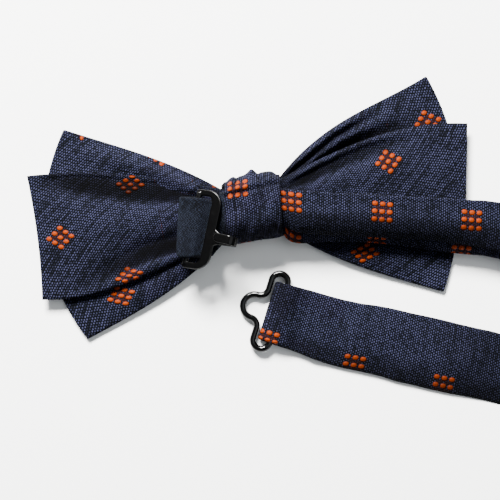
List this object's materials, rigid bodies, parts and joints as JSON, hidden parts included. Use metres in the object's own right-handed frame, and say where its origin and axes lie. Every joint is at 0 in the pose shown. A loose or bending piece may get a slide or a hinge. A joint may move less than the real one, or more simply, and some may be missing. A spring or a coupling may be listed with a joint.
{
  "type": "bow tie",
  "caption": "Pre-tied bow tie lying face down, with its adjustable neckband, slide adjuster, hook and wire eye.",
  "frame": {"origin": "on the flat front face of the knot, which is the lowest face of the knot as the bow tie lies face down", "axes": "+X along the bow, towards the side where the neckband leaves it; +Y towards the top of the bow as it is worn; +Z from the front face to the wearer's neck"},
  "size_m": [0.2163, 0.107, 0.0191],
  "materials": {
    "bow_cloth": "woven navy and periwinkle with small orange dot squares",
    "band_cloth": "woven navy and periwinkle with small orange dot squares",
    "lining": "matte white wool-mix interlining",
    "thread": "matte dark sewing thread",
    "black_metal": "satin black lacquer",
    "black_wire": "gloss black lacquer"
  },
  "bodies": {
    "bow_and_band": {"front_bow_face_panel": "bow_cloth", "front_bow_interlining": "lining", "front_bow_back_panel": "bow_cloth", "rear_bow_face_panel": "bow_cloth", "rear_bow_interlining": "lining", "rear_bow_back_panel": "bow_cloth", "gather_thread": "thread", "knot_interlining": "lining", "knot_wrap": "bow_cloth", "knot_closing_stitches": "thread", "neckband_outer_ply": "band_cloth", "neckband_interlining": "lining", "neckband_inner_ply": "band_cloth", "neckband_return_leg": "band_cloth", "eye_end_stitches": "thread"},
    "hook": {"hook": "black_metal"},
    "eye": {"eye": "black_wire"},
    "slide": {"adjuster_slide": "black_metal", "neckband_return_end": "band_cloth", "slide_end_stitches": "thread"}
  },
  "joints": [
    {"name": "hook_swivel", "type": "hinge", "parent": "bow_and_band", "child": "hook", "pos_m": [-0.0167, -0.0028, 0.009], "axis": [-0.342, -0.9397, 0], "range_deg": [0, 110]},
    {"name": "eye_swivel", "type": "hinge", "parent": "bow_and_band", "child": "eye", "pos_m": [0.0029, -0.0281, 0.00195], "axis": [0.4384, 0.8988, 0], "range_deg": [0, 115]},
    {"name": "slide_adjust", "type": "slide", "parent": "bow_and_band", "child": "slide", "axis": [0.9736, -0.1976, -0.1145], "range_m": [-0.004, 0.013], "deforming": ["neckband_return_leg"]}
  ]
}
